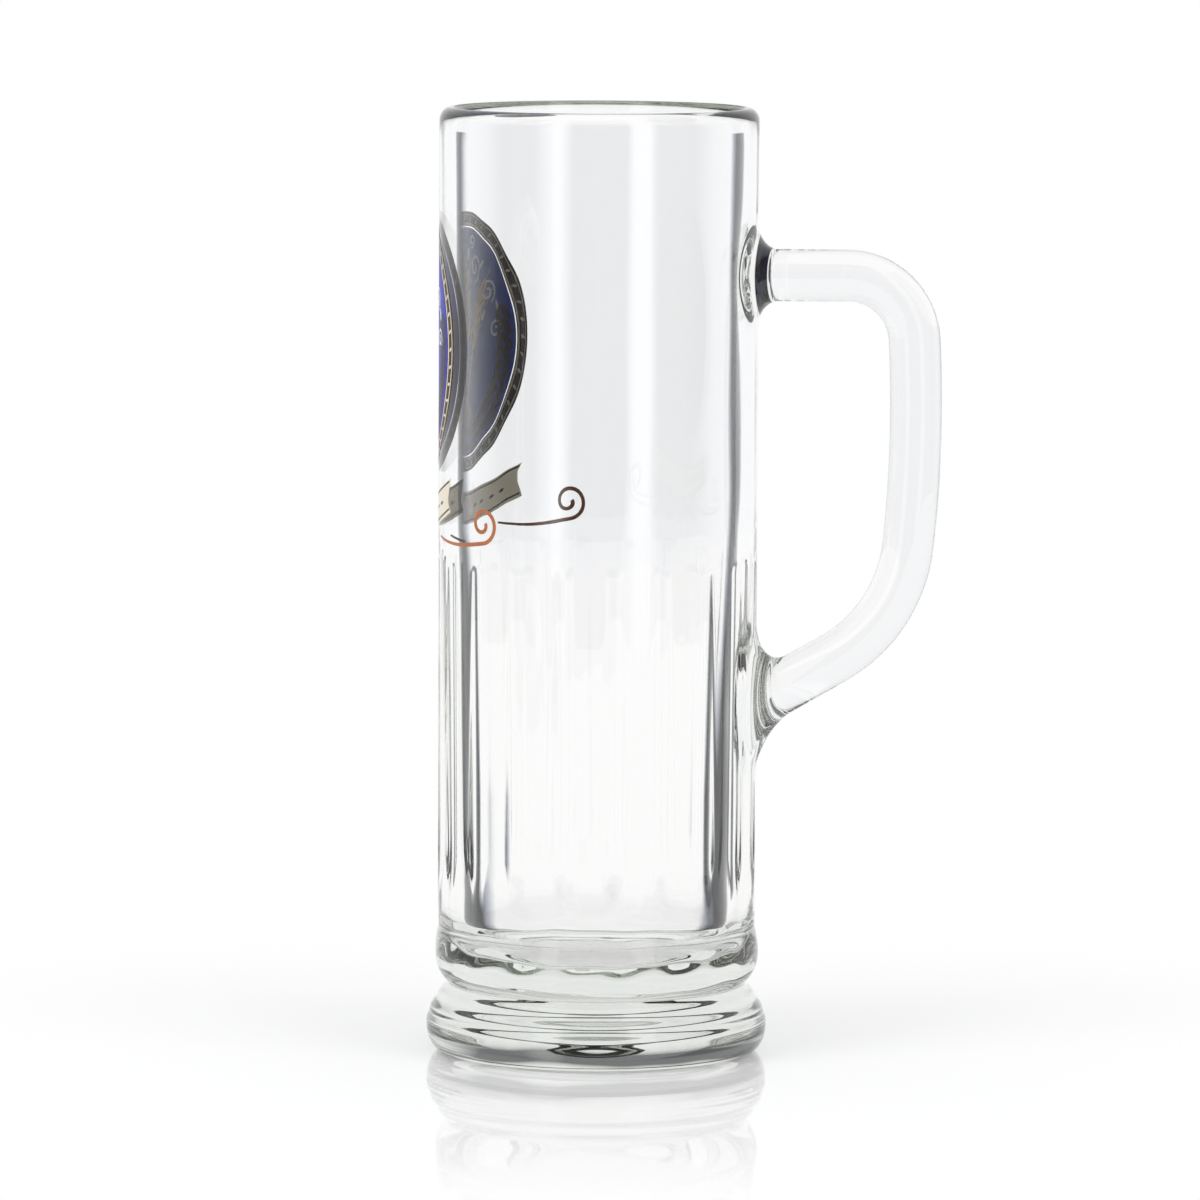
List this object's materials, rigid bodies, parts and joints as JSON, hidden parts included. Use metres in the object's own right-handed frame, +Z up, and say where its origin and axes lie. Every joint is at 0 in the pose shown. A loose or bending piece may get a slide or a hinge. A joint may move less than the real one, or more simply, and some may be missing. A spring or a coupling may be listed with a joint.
{
  "type": "beer mug",
  "caption": "Tall pressed-glass beer mug with a smooth barrel, fluted lower wall, thick base, round foot, fused rod handle and a fired enamel print.",
  "frame": {"origin": "on the vessel's axis, at the height of the table that the standing ring rests on", "axes": "+Z up along the vessel's axis, +X towards the handle, Y across"},
  "size_m": [0.1143, 0.076, 0.211],
  "materials": {
    "glass": "clear fire-polished soda-lime glass",
    "enamel_brown": "fired dark brown enamel",
    "enamel_blue": "fired royal blue enamel",
    "enamel_gold": "fired straw-gold enamel",
    "enamel_cream": "fired cream enamel",
    "enamel_copper": "fired copper-brown enamel"
  },
  "bodies": {
    "root": {"vessel": "glass", "handle": "glass", "print_border": "enamel_brown", "print_field": "enamel_blue", "print_sheaf": "enamel_gold", "print_ribbon": "enamel_cream", "print_scroll_near": "enamel_copper", "print_scroll_far": "enamel_copper"}
  },
  "joints": []
}
